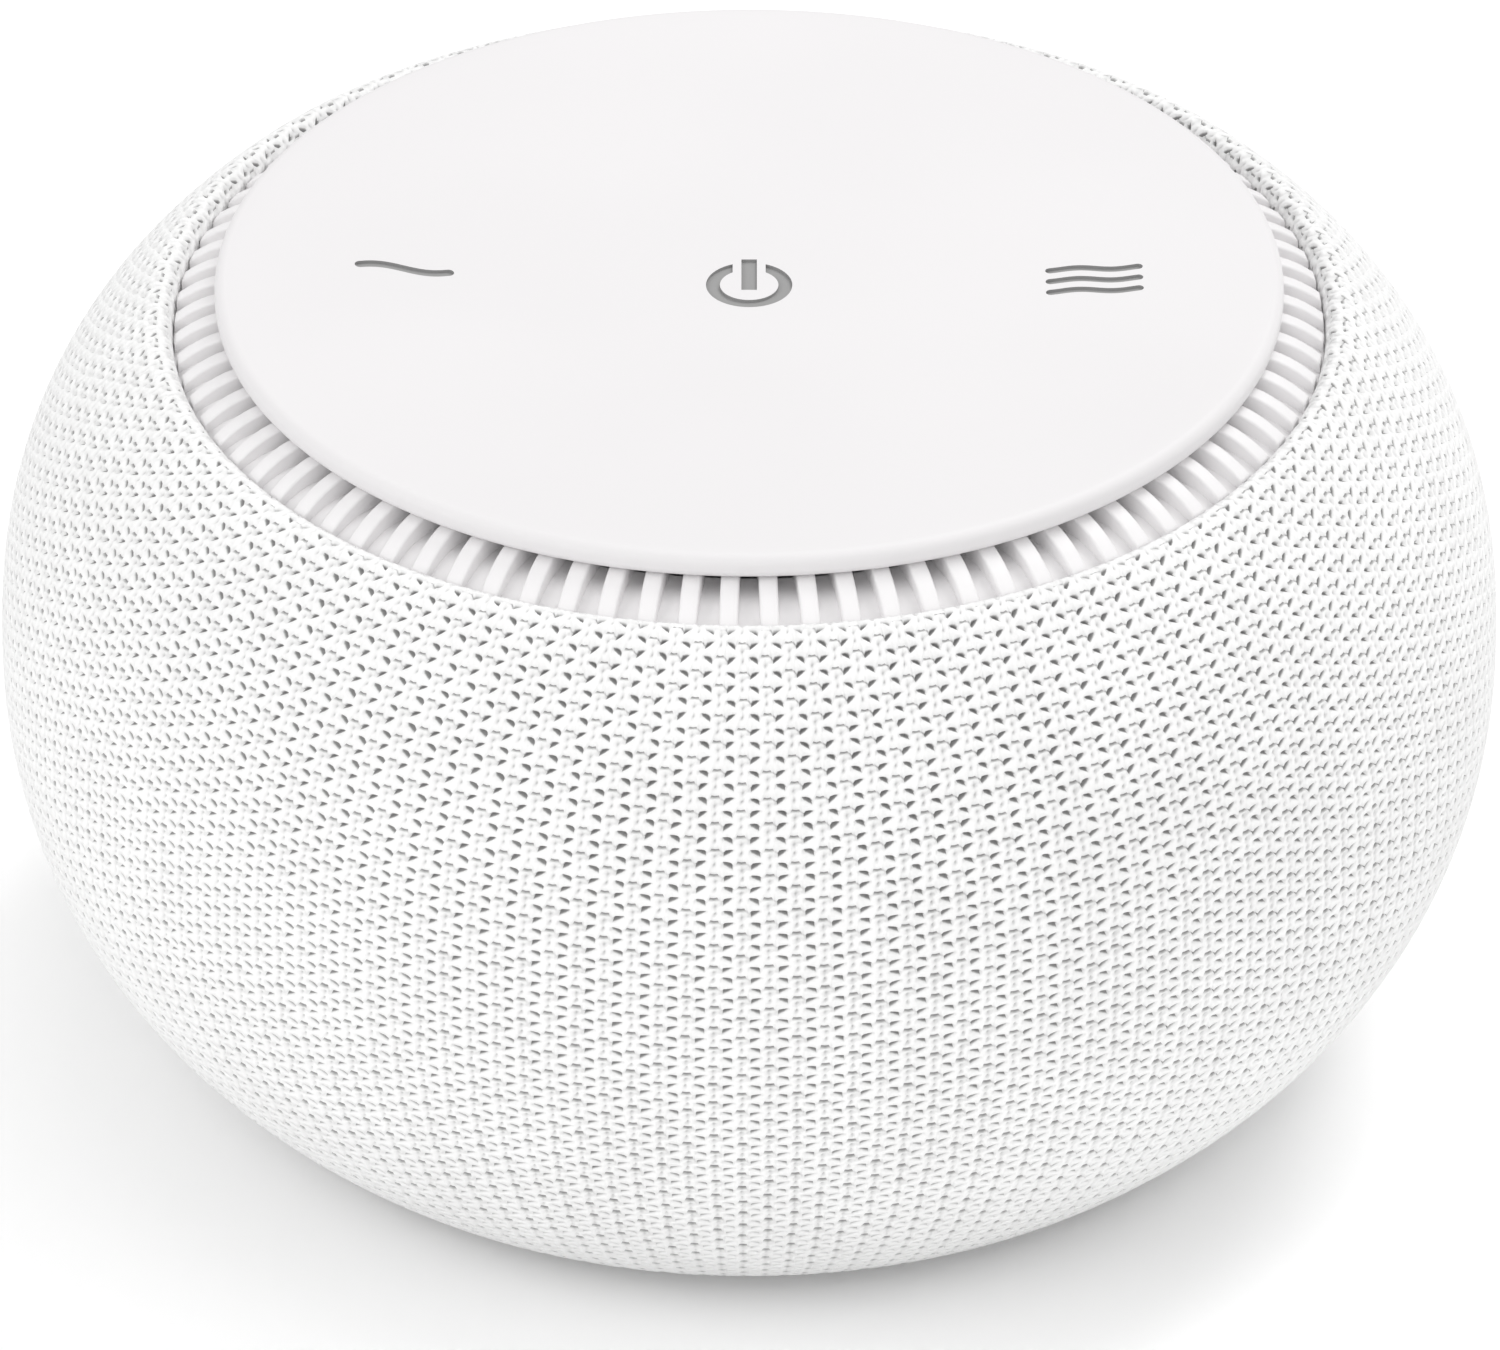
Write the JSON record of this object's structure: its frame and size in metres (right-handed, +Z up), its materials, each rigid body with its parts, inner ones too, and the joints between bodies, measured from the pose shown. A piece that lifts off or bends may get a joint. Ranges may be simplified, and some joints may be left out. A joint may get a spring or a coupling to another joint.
{
  "type": "white noise sound machine",
  "caption": "Round fabric-covered sound machine: a motor-driven fan in a ported drum, a touch plate over a ribbed grille ring, and an outer shell that turns to change the tone.",
  "frame": {"origin": "centre of the plane that the feet rest on", "axes": "+Z up through the fan's shaft and the middle of the touch plate, -Y to the front, where the marks read upright, +X to the side with the three waves"},
  "size_m": [0.142, 0.142, 0.0812],
  "materials": {
    "plate": "smooth satin moulding",
    "mark": "matt grey inlay",
    "ribs": "smooth satin moulding",
    "knit": "white double-layer knit",
    "shell": "plain moulding",
    "drum": "plain moulding",
    "base": "fine spark-eroded grain",
    "rubber": "matt",
    "felt": "pressed felt",
    "circuit": "solder mask",
    "lead": "flat lead",
    "socket": "natural nylon",
    "chip": "moulded epoxy",
    "can": "sleeved can",
    "ferrite": "ferrite core",
    "jack": "black moulding",
    "contact": "plated",
    "screw": "zinc plated",
    "steel": "drawn",
    "laminate": "stacked laminations",
    "copper": "enamelled copper wire",
    "bearing": "sintered bronze",
    "magnet": "bonded ferrite",
    "fan": "dark moulding"
  },
  "bodies": {
    "base": {"touch_plate": "plate", "icon_inlays": "mark", "touch_board": "circuit", "touch_cable": "lead", "grille_ring": "ribs", "grille_screws": "screw", "sound_drum": "drum", "base_plate": "base", "rubber_feet": "rubber", "base_screws": "screw", "slide_ring": "felt", "motor_mount": "steel", "motor_grommets": "rubber", "motor_screws": "screw", "bearing_tube": "bearing", "shaft_bearings": "bearing", "stator_core": "laminate", "stator_windings": "copper", "motor_board": "circuit", "motor_lead": "lead", "main_board": "circuit", "board_screws": "screw", "control_chips": "chip", "filter_capacitors": "can", "power_inductor": "ferrite", "board_sockets": "socket", "dc_jack": "jack", "jack_pin": "contact"},
    "tone_shell": {"fabric_sleeve": "knit", "carrier_shell": "shell", "top_trim_ring": "shell", "bottom_trim_ring": "shell", "shutter_ring": "shell", "shutter_screws": "screw"},
    "rotor": {"impeller": "fan", "rotor_cup": "steel", "magnet_ring": "magnet", "motor_shaft": "steel", "shaft_clip": "steel"}
  },
  "joints": [
    {"name": "tone_turn", "type": "hinge", "parent": "base", "child": "tone_shell", "pos_m": [0, 0, 0.04], "axis": [0, 0, 1], "range_deg": [0, 22.5]},
    {"name": "fan_spin", "type": "hinge", "parent": "base", "child": "rotor", "pos_m": [0, 0, 0.035], "axis": [0, 0, 1], "continuous": true}
  ]
}
